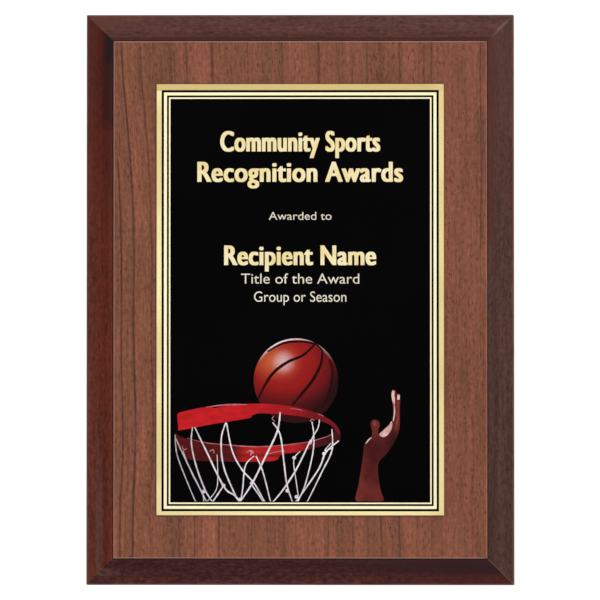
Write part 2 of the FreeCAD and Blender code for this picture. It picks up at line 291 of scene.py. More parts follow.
def walnut_veneer():
    s = Shader("walnut_veneer")
    across = figure_place(s)
    place = s.join(across, s.y, s.z)

    brown = tone(134, 80, 59)
    olive = tone(112, 70, 49)
    red = tone(151, 88, 68)
    dark = tone(66, 34, 24)

    cloud = s.noise(place, (70, 1, 15), detail=3.0, rough=0.6)
    colour = s.blend(s.span(cloud, 0.42, 0.70, 0.0, 0.75), brown, olive)
    colour = s.blend(s.span(cloud, 0.46, 0.24, 0.0, 0.80), colour, red)

    for centre, half, strength, kind in FIGURE_BANDS:
        share = s.near(across, centre * MM, half * 0.45 * MM, half * 1.15 * MM, strength)
        colour = s.blend(share, colour, olive if kind == "olive" else red)

    broken = s.noise(place, (260, 1, 34), detail=3.0, rough=0.6)
    solid = s.span(broken, 0.30, 0.55, 0.45, 1.0)
    lines = None
    for centre, half, depth, low, high in FIGURE_LINES:
        line = s.near(across, centre * MM, 0.15 * half * MM, 1.25 * half * MM, depth)
        if low > -150 or high < 150:
            line = s.times(line, window(s, s.z, low, high))
        lines = line if lines is None else s.math("MAXIMUM", lines, line)
    lines = s.math("MULTIPLY", s.times(lines, solid), 1.3, clamp=True)
    colour = s.blend(lines, colour, dark)

    fibre = s.noise(place, (760, 1, 34), detail=3.0, rough=0.65)
    colour = s.shade(colour, s.span(fibre, 0.30, 0.70, 0.76, 1.24, smooth=False))
    mottle = s.noise(place, (580, 1, 340), detail=3.0, rough=0.75)
    colour = s.shade(colour, s.span(mottle, 0.32, 0.68, 0.70, 1.28, smooth=False))
    fleck = s.noise(place, (1300, 1, 260), detail=2.0, rough=0.6)
    pore = s.span(fleck, 0.55, 0.66)
    thick = s.noise(place, (110, 1, 30), detail=1.0)
    pore = s.times(pore, s.span(thick, 0.36, 0.62, 0.35, 1.0))
    colour = s.blend(s.times(pore, 0.70), colour, dark)
    # Painted light: the foot is made lighter and the right side darker, after how the light falls
    # on the panel.
    tint = s.span(s.z, -120 * MM, -112 * MM, 1.06, 1.0)
    tint = s.times(tint, s.span(s.x, 40 * MM, 90 * MM, 1.0, 0.90))
    colour = s.shade(colour, tint)

    # Painted contact shadow: a fine dark line on the veneer all round the edge of the plate.
    plate_contact_shadow = s.span(beyond(s, "award_plate"), 0.15 * MM, 0.75 * MM, 0.6, 0.0)
    colour = s.blend(plate_contact_shadow, colour, tone(52, 30, 22))

    # Painted highlight: the eased edge is drawn as a lighter line, fainter along the right side.
    past = s.math("ADD", beyond(s, "face_veneer"), 0.8 * MM)
    painted_highlight = s.span(past, -0.15 * MM, 0.15 * MM, 0.0, 0.65)
    painted_highlight = s.times(painted_highlight, s.span(s.x, 95 * MM, 99 * MM, 1.0, 0.35))
    colour = s.blend(painted_highlight, colour, tone(164, 116, 100))

    relief = s.math("SUBTRACT", s.times(fibre, 0.4), pore)
    s.bump(relief, 0.02 * MM, 0.5)
    rough = s.span(pore, 0.0, 1.0, 0.44, 0.62)
    return s.finish(colour, rough, specular=0.15)


# Where each moulding's wood is cut from, so that no two have the same grain.
GRAIN_SEEDS = {"left": 1.3, "right": 4.1, "top": 7.7, "bottom": 9.2}


def moulding(name, side, outer, middle, inner):
    """Dark stained wood, with its grain along one of the four sides.

    outer, middle and inner are its colours from the outer edge to the veneer; they hold painted
    shade across the cove, and each side has its own set, lighter and greyer for the top and right
    as if lit from the upper right, darker for the left and bottom.
    """
    s = Shader(name)
    half_width = cad_box[1][0]
    half_height = cad_box[1][2]
    upright = side in ("left", "right")
    along = s.z if upright else s.x
    sideways = s.x if upright else s.z
    limit = half_width if upright else half_height
    # 0 at the outer edge, and the width of the moulding at the inner one.
    inward = s.math("SUBTRACT", limit, s.math("ABSOLUTE", sideways))
    seed = GRAIN_SEEDS[side]
    place = s.join(inward, s.y, along)
    shift = (seed, seed * 2, seed * 3)

    waver = s.noise(place, (90, 60, 14), detail=2.0, shift=shift)
    edge = s.math("ADD", inward, s.times(s.math("SUBTRACT", waver, 0.5), 5 * MM))
    # Painted shade across the cove, through the outer, middle and inner colours.
    colour = s.blend(s.span(edge, 2.5 * MM, 5.0 * MM), outer, middle)
    colour = s.blend(s.span(edge, 8.0 * MM, 10.5 * MM), colour, inner)

    cloud = s.noise(place, (150, 60, 12), detail=3.0, rough=0.6, shift=shift)
    colour = s.shade(colour, s.span(cloud, 0.32, 0.68, 0.88, 1.12))
    streak = s.noise(place, (560, 300, 22), detail=3.0, rough=0.65, shift=shift)
    colour = s.shade(colour, s.span(streak, 0.30, 0.70, 0.82, 1.18, smooth=False))
    grain = s.noise(place, (620, 620, 330), detail=3.0, rough=0.75, shift=shift)
    colour = s.shade(colour, s.span(grain, 0.32, 0.68, 0.64, 1.36, smooth=False))
    fleck = s.noise(place, (1500, 900, 170), detail=2.0, rough=0.6, shift=shift)
    pore = s.span(fleck, 0.58, 0.70)
    colour = s.blend(s.times(pore, 0.5), colour, tone(30, 14, 12))
    # Each side then adds its own colours and painted light: painted shade, dark reflections, sheen
    # and glints of the glossy cove.
    stain = {"left": left_painted_light, "right": right_colour_and_light, "top": top_colour_and_light,
             "bottom": bottom_colour_and_light}[side]
    colour = stain(s, inward, grain, colour)

    # Handling has rubbed the outer arris a little paler.
    rim = s.span(inward, 0.3 * MM, 1.3 * MM, 1.0, 0.0)
    rim = s.times(rim, s.span(s.y, -6.2 * MM, -4.8 * MM, 1.0, 0.1))
    wear = s.noise(place, (400, 400, 60), detail=3.0, shift=shift)
    rim = s.times(rim, s.span(wear, 0.30, 0.60, 0.35, 0.8))
    colour = s.blend(rim, colour, tone(120, 92, 84))

    s.bump(s.math("SUBTRACT", s.times(streak, 0.5), pore), 0.02 * MM, 0.5)
    rough = s.span(cloud, 0.3, 0.7, 0.30, 0.38)
    return s.finish(colour, rough, specular=0.08)


def left_painted_light(s, inward, grain, colour):
    """Painted light: darker and purple towards the top, a painted dark reflection in its inner top
    corner, and a painted grey highlight band at the foot.
    """
    # Painted reflection: darker towards the top, and purple on the inner half near the top.
    upper = s.span(s.z, 20 * MM, 90 * MM, 0.0, 0.5)
    colour = s.blend(upper, colour, tone(76, 30, 24))
    purple = s.times(s.span(inward, 6 * MM, 11 * MM), window(s, s.z, 92, 150))
    colour = s.blend(s.times(purple, 0.75), colour, tone(46, 22, 26))
    # Painted dark reflection: near black in the inner top corner.
    painted_dark_reflection = s.times(s.span(inward, 9 * MM, 13 * MM), window(s, s.z, 126, 148))
    colour = s.blend(s.times(painted_dark_reflection, 0.8), colour, tone(26, 24, 28))
    # Painted highlight: a grey band along the middle of the cove at the foot.
    band = s.near(inward, 7.2 * MM, 0.8 * MM, 2.8 * MM)
    lower = s.span(s.z, -130 * MM, -40 * MM, 0.75, 0.0)
    painted_highlight = s.times(band, lower, s.span(grain, 0.35, 0.6, 0.4, 1.0))
    return s.blend(painted_highlight, colour, tone(98, 72, 66))


def top_colour_and_light(s, inward, grain, colour):
    """Paler at the left end, with a painted shadow in the groove beside the veneer and a painted
    glint at the right mitre.
    """
    paler_left_end = s.span(s.x, -100 * MM, -60 * MM, 0.6, 0.0)
    paler_left_end = s.times(paler_left_end, s.span(inward, 5 * MM, 8 * MM, 1.0, 0.0))
    colour = s.blend(paler_left_end, colour, tone(102, 62, 50))
    # Painted shadow: dark in the groove beside the veneer.
    painted_groove_shadow = s.span(inward, 12.4 * MM, 13.2 * MM, 0.0, 0.7)
    colour = s.blend(painted_groove_shadow, colour, tone(60, 30, 22))
    end = s.math("SUBTRACT", cad_box[1][0], s.x)
    return painted_mitre_glint(s, inward, end, colour)


def right_colour_and_light(s, inward, grain, colour):
    """Paler and greyer towards the top as painted sheen, where a red line shows beside the veneer;
    a painted glint at the upper mitre.
    """
    # Painted sheen: paler and greyer towards the top.
    upper = s.span(s.z, 40 * MM, 120 * MM, 0.0, 0.4)
    colour = s.blend(upper, colour, tone(88, 58, 52))
    red = s.times(s.span(inward, 10.5 * MM, 12.5 * MM), window(s, s.z, 30, 150))
    colour = s.blend(s.times(red, 0.7), colour, tone(82, 38, 30))
    upper_end = s.math("SUBTRACT", cad_box[1][2], s.z)
    lower_end = s.math("ADD", cad_box[1][2], s.z)
    colour = painted_mitre_glint(s, inward, upper_end, colour)
    return open_mitre(s, inward, lower_end, colour)


def bottom_colour_and_light(s, inward, grain, colour):
    """Coarser, red and purple to the right, with a painted grey highlight at the left mitre."""
    colour = s.shade(colour, s.span(grain, 0.38, 0.62, 0.84, 1.18))
    red = s.span(s.x, 20 * MM, 90 * MM, 0.0, 0.6)
    colour = s.blend(red, colour, tone(70, 27, 27))
    purple = s.times(s.span(s.x, 0.0, 90 * MM), s.span(inward, 5 * MM, 8 * MM))
    colour = s.blend(s.times(purple, 0.8), colour, tone(46, 25, 30))
    # Painted highlight: a grey band near the left mitre.
    band = s.near(inward, 7.0 * MM, 0.8 * MM, 3.0 * MM)
    left_end = s.span(s.x, -108 * MM, -88 * MM, 0.7, 0.0)
    painted_highlight = s.times(band, left_end, s.span(grain, 0.35, 0.6, 0.3, 1.0))
    colour = s.blend(painted_highlight, colour, tone(98, 74, 68))
    end = s.math("SUBTRACT", cad_box[1][0], s.x)
    return open_mitre(s, inward, end, colour)


def painted_mitre_glint(s, inward, end, colour):
    """A painted glint along a mitre, where the distances from both outer edges agree."""
    glint = s.near(end, inward, 0.3 * MM, 1.6 * MM, 0.6)
    glint = s.times(glint, window(s, inward, 4, 9))
    return s.blend(glint, colour, tone(132, 108, 92))


def open_mitre(s, inward, end, colour):
    """A fine pale line of bare wood along a mitre."""
    line = s.near(end, inward, 0.05 * MM, 0.35 * MM, 0.6)
    return s.blend(line, colour, tone(128, 98, 88))


# ---------------------------------------------------------------- plate and print

# The printed lines: node, width in mm, and how far the ink has bled beside it.
PRINTED_LINES = (
    ("outer_line_print", 1.05, 0.10),
    ("inner_line_print", 0.80, 0.13),
)


def gold_plate():
    s = Shader("gold_plate")
    brushed = s.noise(s.place, (30, 200, 2600), detail=3.0, rough=0.7)
    broad = s.noise(s.place, (10, 10, 22), detail=2.0)
    light = tone(243, 228, 170)
    deep = tone(222, 200, 140)
    colour = s.blend(s.span(broad, 0.35, 0.65), light, deep)
    # The bands between the printed lines are paler than the one outside them.
    inside = s.span(beyond(s, "outer_line_print"), -0.5 * MM, 0.0, 1.0, 0.0)
    # Painted shade: the margin above the outer line is darker, and so is the strip along the right
    # edge.
    line_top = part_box("outer_line_print")[1].z
    top = s.span(s.z, line_top - 0.5 * MM, line_top)
    colour = s.blend(top, colour, tone(206, 180, 120))
    colour = s.blend(s.span(s.x, 66 * MM, 74 * MM, 0.0, 0.5), colour, deep)
    colour = s.blend(s.times(inside, 0.8), colour, tone(252, 244, 206))
    colour = s.shade(colour, s.span(brushed, 0.3, 0.7, 0.95, 1.05, smooth=False))
    for node, width, spread in PRINTED_LINES:
        reach = (width / 2 + spread) * MM
        bled = s.near(beyond(s, node), -width / 2 * MM, reach - 0.03 * MM, reach + 0.03 * MM)
        colour = s.blend(bled, colour, tone(40, 33, 12))
    past = s.math("ADD", beyond(s, "award_plate"), 0.35 * MM)
    cut_edge = s.span(past, -0.1 * MM, 0.1 * MM)
    colour = s.blend(s.times(cut_edge, 0.45), colour, tone(150, 118, 62))
    s.bump(brushed, 0.004 * MM, 0.6)
    rough = s.span(brushed, 0.3, 0.7, 0.36, 0.46, smooth=False)
    return s.finish(colour, rough, metallic=0.55, specular=0.4)


def black_ink():
    s = Shader("black_ink")
    orange_peel = s.noise(s.place, (900, 900, 900), detail=2.0)
    film = s.noise(s.place, (14, 14, 14), detail=3.0)
    colour = s.blend(s.span(film, 0.3, 0.7), tone(3, 3, 4), tone(5, 5, 6))
    s.bump(orange_peel, 0.002 * MM, 0.5)
    rough = s.span(film, 0.3, 0.7, 0.30, 0.38)
    return s.finish(colour, rough, specular=0.01)


def lettering_ink():
    s = Shader("lettering_ink")
    sheen = s.noise(s.place, (60, 60, 90), detail=2.0)
    colour = s.blend(s.span(sheen, 0.35, 0.65), tone(250, 236, 190), tone(244, 222, 160))
    grain = s.noise(s.place, (2600, 200, 2600), detail=2.0)
    s.bump(grain, 0.002 * MM, 0.4)
    return s.finish(colour, 0.42, specular=0.2)


def pale_ink():
    s = Shader("pale_ink")
    sheen = s.noise(s.place, (60, 60, 90), detail=2.0)
    colour = s.blend(s.span(sheen, 0.35, 0.65), tone(232, 226, 208), tone(222, 214, 194))
    grain = s.noise(s.place, (2600, 200, 2600), detail=2.0)
    s.bump(grain, 0.002 * MM, 0.4)
    return s.finish(colour, 0.42, specular=0.2)


def distance_from(s, x, z):
    """Distance in metres in the plane of the print from a point in mm."""
    across = s.math("SUBTRACT", s.x, x * MM)
    up = s.math("SUBTRACT", s.z, z * MM)
    return s.math("SQRT", s.math("ADD", s.math("POWER", across, 2.0), s.math("POWER", up, 2.0)))


def ball_ink(centre_x, centre_z, radius):
    """Orange-red leather lit from the upper left, fading into the dark."""
    s = Shader("ball_ink")
    reach = radius * MM
    lit = distance_from(s, centre_x - 0.30 * radius, centre_z + 0.44 * radius)
    colour = s.blend(s.span(lit, 0.05 * reach, 0.55 * reach), tone(192, 76, 54), tone(150, 28, 27))
    colour = s.blend(s.span(lit, 0.55 * reach, 1.05 * reach), colour, tone(112, 22, 24))
    colour = s.blend(s.span(lit, 0.95 * reach, 1.40 * reach), colour, tone(30, 12, 15))
    low = s.span(s.z, (centre_z - 0.9 * radius) * MM, centre_z * MM, 0.75, 0.0)
    colour = s.blend(low, colour, tone(52, 14, 15))
    warm = distance_from(s, centre_x - 0.62 * radius, centre_z + 0.46 * radius)
    colour = s.blend(s.span(warm, 0.0, 0.55 * reach, 0.5, 0.0), colour, tone(214, 112, 66))
    colour = s.blend(s.span(lit, 0.02 * reach, 0.34 * reach, 0.8, 0.0), colour,
                     tone(216, 180, 184))
    rim = distance_from(s, centre_x, centre_z)
    low = (centre_z + 0.40 * radius) * MM
    above = s.span(s.z, low, low + 0.5 * reach)
    left = s.span(s.x, (centre_x - 0.5 * radius) * MM, (centre_x + 0.7 * radius) * MM, 1.0, 0.35)
    glint = s.times(s.span(rim, 0.93 * reach, 0.985 * reach), above)
    glint = s.times(glint, left)
    colour = s.blend(glint, colour, tone(232, 214, 216))
    pebble = s.cells(s.place, (900, 900, 900))
    colour = s.shade(colour, s.span(pebble, 0.1, 0.7, 0.92, 1.06))
    s.bump(pebble, 0.002 * MM, 0.3)
    return s.finish(colour, 0.36, specular=0.03)


def far_hoop_ink():
    """The far side of the hoop, darker to the right."""
    s = Shader("far_hoop_ink")
    fade = s.span(s.x, -30 * MM, 16 * MM)
    grain = s.noise(s.place, (160, 160, 420), detail=3.0)
    colour = s.blend(fade, tone(196, 30, 36), tone(112, 24, 30))
    colour = s.shade(colour, s.span(grain, 0.3, 0.7, 0.86, 1.12))
    s.bump(grain, 0.002 * MM, 0.3)
    return s.finish(colour, 0.36, specular=0.03)


def near_hoop_ink():
    """The near side of the hoop: dark at both ends, with a bright middle and lip."""
    s = Shader("near_hoop_ink")
    grain = s.noise(s.place, (160, 160, 420), detail=3.0)
    dark = tone(84, 20, 20)
    colour = s.blend(s.span(s.x, -36 * MM, -28 * MM), dark, tone(176, 32, 34))
    colour = s.blend(s.span(s.x, -4 * MM, 8 * MM), colour, tone(70, 20, 22))
    line = s.near(s.z, -82.6 * MM, 0.0, 1.2 * MM, 0.5)
    colour = s.blend(line, colour, dark)
    colour = s.shade(colour, s.span(grain, 0.3, 0.7, 0.80, 1.16))
    s.bump(grain, 0.002 * MM, 0.3)
    return s.finish(colour, 0.36, specular=0.03)


def cord_ink():
    s = Shader("cord_ink")
    strand = s.noise(s.place, (420, 420, 420), detail=3.0)
    low = s.span(s.z, -105 * MM, -75 * MM)
    colour = s.blend(low, tone(222, 212, 220), tone(236, 228, 230))
    side = s.span(s.x, -66 * MM, -45 * MM, 0.55, 1.0)
    colour = s.shade(colour, s.times(s.span(strand, 0.3, 0.7, 0.78, 1.12), side))
    s.bump(strand, 0.002 * MM, 0.3)
    return s.finish(colour, 0.4, specular=0.03)


def skin_ink():
    """A forearm and hand lit from the upper left."""
    s = Shader("skin_ink")
    mottle = s.noise(s.place, (150, 150, 90), detail=3.0)
    colour = s.blend(s.span(mottle, 0.3, 0.7), tone(108, 42, 39), tone(74, 26, 24))
    wrist = s.near(s.z, -80 * MM, 2 * MM, 12 * MM, 0.6)
    colour = s.blend(wrist, colour, tone(58, 18, 17))
    lit = s.span(s.x, 30 * MM, 36 * MM, 0.35, 0.0)
    colour = s.blend(lit, colour, tone(134, 58, 52))
    edge = s.span(s.x, 41 * MM, 52 * MM)
    low = s.span(s.z, -76 * MM, -66 * MM, 1.0, 0.0)
    colour = s.blend(s.times(edge, low), colour, tone(46, 16, 18))
    s.bump(mottle, 0.002 * MM, 0.3)
    return s.finish(colour, 0.38, specular=0.03)


def plain_ink(name, colour, second):
    s = Shader(name)
    tint = s.noise(s.place, (220, 220, 160), detail=3.0)
    mixed = s.blend(s.span(tint, 0.3, 0.7), colour, second)
    s.bump(tint, 0.002 * MM, 0.3)
    return s.finish(mixed, 0.38, specular=0.03)


# ---------------------------------------------------------------- back

def fibreboard():
    s = Shader("fibreboard")
    fuzz = s.noise(s.place, (900, 900, 900), detail=4.0, rough=0.7)
    colour = s.blend(fuzz, tone(120, 92, 62), tone(168, 134, 96))
    s.bump(fuzz, 0.08 * MM, 0.6)
    return s.finish(colour, 0.85, specular=0.1)


def liner_paper():
    s = Shader("liner_paper")
    pulp = s.noise(s.place, (500, 500, 500), detail=4.0, rough=0.65)
    stain = s.noise(s.place, (18, 18, 18), detail=4.0, rough=0.6)
    fibres = s.noise(s.place, (1600, 1600, 240), detail=2.0)
    colour = s.blend(s.span(stain, 0.32, 0.68), tone(60, 46, 38), tone(74, 58, 47))
    colour = s.shade(colour, s.span(pulp, 0.25, 0.75, 0.80, 1.20, smooth=False))
    colour = s.blend(s.span(fibres, 0.64, 0.74, 0.0, 0.4), colour, tone(104, 86, 70))
    s.bump(s.math("ADD", pulp, s.times(fibres, 0.5)), 0.05 * MM, 0.7)
    return s.finish(colour, 0.8, specular=0.15)


def adhesive():
    s = Shader("adhesive")
    cloudy = s.noise(s.place, (300, 300, 300), detail=3.0)
    colour = s.blend(cloudy, tone(206, 204, 196), tone(226, 225, 218))
    s.bump(cloudy, 0.01 * MM, 0.5)
    return s.finish(colour, 0.45, specular=0.4)


def zinc_steel():
    s = Shader("zinc_steel")
    spangle = s.cells(s.place, (420, 420, 420), output="Color")
    rolled = s.noise(s.place, (60, 60, 2600), detail=3.0, rough=0.7)
    dull = s.noise(s.place, (60, 60, 60), detail=4.0, rough=0.6)
    tint = s.blend(0.10, tone(196, 197, 194), spangle)
    colour = s.blend(s.span(dull, 0.35, 0.7, 0.0, 0.5), tint, tone(160, 160, 152))
    colour = s.shade(colour, s.span(rolled, 0.3, 0.7, 0.93, 1.05, smooth=False))
    s.bump(rolled, 0.006 * MM, 0.5)
    rough = s.span(dull, 0.3, 0.7, 0.30, 0.46)
    return s.finish(colour, rough, metallic=1.0)


def screw_steel():
    s = Shader("screw_steel")
    hue = s.noise(s.place, (420, 420, 420), detail=2.0)
    dull = s.noise(s.place, (1500, 1500, 1500), detail=3.0)
    colour = s.blend(s.span(hue, 0.35, 0.65), tone(206, 184, 120), tone(186, 178, 142))
    colour = s.shade(colour, s.span(dull, 0.3, 0.7, 0.85, 1.08, smooth=False))
    s.bump(dull, 0.01 * MM, 0.4)
    return s.finish(colour, s.span(dull, 0.3, 0.7, 0.26, 0.42), metallic=1.0)


# ---------------------------------------------------------------- printed shapes

PLATE_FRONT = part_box("field_print")[0].y
PRINT_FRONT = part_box("colour_print")[0].y
LAYER = (PLATE_FRONT - PRINT_FRONT) / 5


def smooth_run(points, steps=8, closed=False):
    """Points on a smooth curve through the given ones (Catmull-Rom)."""
    count = len(points)
    spans = count if closed else count - 1
    run = []
    for index in range(spans):
        if closed:
            four = [points[(index + k) % count] for k in (-1, 0, 1, 2)]
        else:
            four = [points[min(max(index + k, 0), count - 1)] for k in (-1, 0, 1, 2)]
        a, b, c, d = (Vector(p) for p in four)
        for step in range(steps):
            t = step / steps
            bend = 2 * a - 5 * b + 4 * c - d
            twist = 3 * b - a - 3 * c + d
            run.append(0.5 * (2 * b + (c - a) * t + bend * t ** 2 + twist * t ** 3))
    if not closed:
        run.append(Vector(points[-1]))
    return run


def arc(x, z, wide, high, start, end, count=32):
    """Points on an ellipse from one angle to another, in degrees."""
    turns = [math.radians(start + (end - start) * k / count) for k in range(count + 1)]
    return [Vector((x + wide * math.cos(a), z + high * math.sin(a))) for a in turns]


def disc(x, z, radius, count=96):
    return area(arc(x, z, radius, radius, 0, 360, count)[:-1])


def area(outline):
    """A flat shape inside an outline: its corners and its triangles."""
    flat = [[Vector((p[0], p[1], 0.0)) for p in outline]]
    return [Vector(p) for p in outline], [list(t) for t in tessellate_polygon(flat)]


def stroke(points, thick, ends=0.6, wobble=0.0):
    """A brush stroke in mm, thickest in its middle."""
    run = smooth_run(points)
    count = len(run)
    corners = []
    for index, here in enumerate(run):
        way = (run[min(index + 1, count - 1)] - run[max(index - 1, 0)]).normalized()
        share = math.sin(math.pi * index / (count - 1))
        half = thick / 2 * (ends + (1 - ends) * share)
        half *= 1 + wobble * math.sin(index * 1.7 + points[0][0])
        side = Vector((-way.y, way.x)) * half
        corners += [here + side, here - side]
    faces = [[2 * k, 2 * k + 1, 2 * k + 3, 2 * k + 2] for k in range(count - 1)]
    return corners, faces


def slab(points, faces):
    """An object one unit thick, with the given flat shape in mm."""
    made = bmesh.new()
    near = [made.verts.new((p[0], p[1], 1.0)) for p in points]
    far = [made.verts.new((p[0], p[1], 0.0)) for p in points]
    edges = set()
    for face in faces:
        ring = list(face)
        turn = sum(
            points[a][0] * points[b][1] - points[b][0] * points[a][1]
            for a, b in zip(ring, ring[1:] + ring[:1])
        )
        if abs(turn) > 1e-9:
            ring = ring if turn > 0 else ring[::-1]
            made.faces.new([near[k] for k in ring])
            made.faces.new([far[k] for k in reversed(ring)])
            edges.update(zip(ring, ring[1:] + ring[:1]))
    for first, second in edges:
        if (second, first) not in edges:
            made.faces.new((near[second], near[first], far[first], far[second]))
    loose = [v for v in made.verts if not v.link_faces]
    bmesh.ops.delete(made, geom=loose, context="VERTS")
    mesh = bpy.data.meshes.new("slab")
    made.to_mesh(mesh)
    made.free()
    block = bpy.data.objects.new("slab", mesh)
    bpy.context.collection.objects.link(block)
    return block


def ink(name, shapes, layer, material, floor=None, layers=1):
    """Prints flat shapes, given in mm, as one closed film of ink on the field."""
    blocks = [slab(points, faces) for points, faces in shapes]
    for other in blocks[1:]:
        union = blocks[0].modifiers.new("union", "BOOLEAN")
        union.operation = "UNION"
        union.solver = "MANIFOLD"
        union.object = other
    graph = bpy.context.evaluated_depsgraph_get()
    mesh = bpy.data.meshes.new_from_object(blocks[0].evaluated_get(graph))
    mesh.name = name
    for block in blocks:
        bpy.data.objects.remove(block)
    back = PLATE_FRONT - LAYER * layer
    for vertex in mesh.vertices:
        x, z, rise = vertex.co
        if floor is not None:
            z = max(z, floor)
        vertex.co = (x * MM, back - LAYER * layers * rise, z * MM)
    mesh.materials.clear()
    mesh.materials.append(material)
    piece = bpy.data.objects.new(name, mesh)
    bpy.context.collection.objects.link(piece)
    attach(piece, BODY)
    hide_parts("colour_print")
    return piece


def type_triangles(words, spacing):
    """The triangles of a line of plain type from the built-in font."""
    line = bpy.data.curves.new("type", "FONT")
    line.body = words
    line.space_character = spacing
    line.resolution_u = 5
    source = bpy.data.objects.new("type", line)
    bpy.context.collection.objects.link(source)
    graph = bpy.context.evaluated_depsgraph_get()
    mesh = bpy.data.meshes.new_from_object(source.evaluated_get(graph))
    bpy.data.objects.remove(source)
    made = bmesh.new()
    made.from_mesh(mesh)
    bpy.data.meshes.remove(mesh)
    bmesh.ops.remove_doubles(made, verts=made.verts, dist=1e-5)
    made.verts.index_update()
    points = [Vector((v.co.x, v.co.y)) for v in made.verts]
    faces = [[v.index for v in f.verts] for f in made.faces]
    made.free()
    return points, faces


# How bold type is made from plain type: half of what its stems and its bars gain
# in mm, and how much further apart its letters stand.
BOLD_STEM = 0.52
BOLD_BAR = 0.16
BOLD_SPACING = 1.07


def letters(name, words, width, cap_height, base, material, bold=False):
    """A centred line of type, given its size and the height of its foot in mm."""
    fat = BOLD_STEM if bold else 0.0
    tall = BOLD_BAR if bold else 0.0
    points, faces = type_triangles(words, BOLD_SPACING if bold else 1.0)
    left = min(p.x for p in points)
    right = max(p.x for p in points)
    top = max(p.y for p in points)
    wide = (width - 2 * fat) / (right - left)
    high = (cap_height - 2 * tall) / top
    middle = (left + right) / 2
    flat = [Vector(((p.x - middle) * wide, p.y * high + base + tall)) for p in points]
    steps = [Vector((0.0, 0.0))]
    if bold:
        steps = [Vector((x * fat, z * tall)) for x in (-1, 0, 1) for z in (-1, 1)]
    shapes = [([p + step for p in flat], faces) for step in steps]
    return ink(name, shapes, 0, material, layers=3)


def print_lettering():
    gold = lettering_ink()
    pale = pale_ink()
    letters("heading_upper", "Community Sports", 84.8, 10.9, 78.4, gold, bold=True)
    letters("heading_lower", "Recognition Awards", 109.0, 10.7, 62.3, gold, bold=True)
    letters("small_line", "Awarded to", 33.3, 4.2, 42.2, pale)
    letters("name_line", "Recipient Name", 80.6, 10.4, 18.2, gold, bold=True)
    letters("title_line", "Title of the Award", 62.6, 5.4, 8.4, pale)
    letters("group_line", "Group or Season", 48.9, 5.5, -1.2, pale)


BALL_X = -2.2
BALL_Z = -43.0
BALL_RADIUS = 22.4
PICTURE_FLOOR = -106.8


def print_ball():
    ink("print_ball", [disc(BALL_X, BALL_Z, BALL_RADIUS)], 0,
        ball_ink(BALL_X, BALL_Z, BALL_RADIUS))
    seams = (
        ([(7.8, -23.6), (2.0, -29.2), (-6.4, -33.0), (-13.8, -38.4), (-18.8, -45.6),
          (-22.2, -52.8)], 1.6),
        ([(-17.4, -27.6), (-9.0, -23.2), (0.0, -22.2), (7.8, -23.6), (11.8, -27.0)], 1.3),
        ([(11.8, -27.0), (11.0, -34.0), (6.8, -42.4), (0.6, -50.2), (-4.4, -56.2)], 1.6),
        ([(15.4, -31.4), (17.0, -38.0), (16.4, -45.6), (14.2, -52.4), (11.4, -58.0)], 1.3),
    )
    ink("print_seams", [stroke(points, thick) for points, thick in seams], 1,
        plain_ink("seam_ink", tone(44, 8, 12), tone(26, 6, 10)))


def print_hoop():
    far_rim = arc(-22.5, -71.7, 43.8, 16.6, 0, 122)
    inner_far = arc(-24.0, -69.6, 42.2, 9.4, 2, 88)
    flange = smooth_run([(-23.0, -60.4), (-25.6, -61.4), (-27.6, -62.9), (-46.0, -65.9),
                         (-63.2, -69.2), (-64.4, -68.0), (-65.0, -62.0), (-63.8, -59.9),
                         (-54.2, -57.6), (-47.0, -56.6)], 4)
    outline = far_rim + flange[::-1] + inner_far[::-1]
    ink("print_hoop_far", [area(outline)], 2, far_hoop_ink())

    inner_near = arc(-24.0, -69.6, 42.2, 8.2, 0, -176)
    lower = smooth_run([(-66.6, -76.0), (-63.0, -80.8), (-58.3, -84.8), (-44.0, -85.7),
                        (-28.0, -85.9), (-13.4, -85.3), (-9.8, -82.0), (-1.5, -80.8),
                        (8.6, -78.3), (16.0, -76.6), (20.6, -75.2), (21.3, -71.7)], 4)
    ink("print_hoop_near", [area(inner_near + lower)], 1, near_hoop_ink())

    glints = (
        ([(-50.0, -57.0), (-41.0, -55.9), (-34.0, -55.6), (-28.0, -55.6)], 0.9),
        ([(-5.6, -57.8), (-2.0, -58.0), (1.2, -58.8)], 0.5),
        ([(9.0, -60.4), (12.6, -61.8)], 0.6),
        ([(-60.0, -73.4), (-50.0, -75.8), (-38.0, -77.0), (-24.0, -77.9), (-10.0, -77.2),
          (4.0, -75.4), (14.0, -72.6), (17.4, -70.8)], 0.6),
    )
    ink("print_glints", [stroke(points, thick, 0.3) for points, thick in glints], 3,
        plain_ink("glint_ink", tone(204, 124, 132), tone(170, 74, 82)))
    clips = (
        ([(-28.4, -81.0), (-26.4, -80.0), (-24.4, -81.2)], 0.9),
        ([(-26.4, -82.6), (-25.6, -80.8), (-26.6, -79.8)], 0.8),
        ([(-48.0, -80.4), (-46.0, -79.6), (-45.6, -81.6)], 0.6),
        ([(-62.6, -77.0), (-61.6, -79.4), (-60.0, -79.0)], 0.6),
        ([(-17.0, -81.8), (-11.6, -80.4), (-8.0, -80.2)], 0.4),
        ([(-13.8, -61.6), (-14.8, -63.2), (-13.4, -64.6)], 0.5),
        ([(5.2, -64.6), (6.4, -63.4), (7.6, -64.2)], 0.6),
    )
    ink("print_clips", [stroke(points, thick, 0.5) for points, thick in clips], 3,
        plain_ink("clip_ink", tone(206, 158, 160), tone(150, 80, 84)))


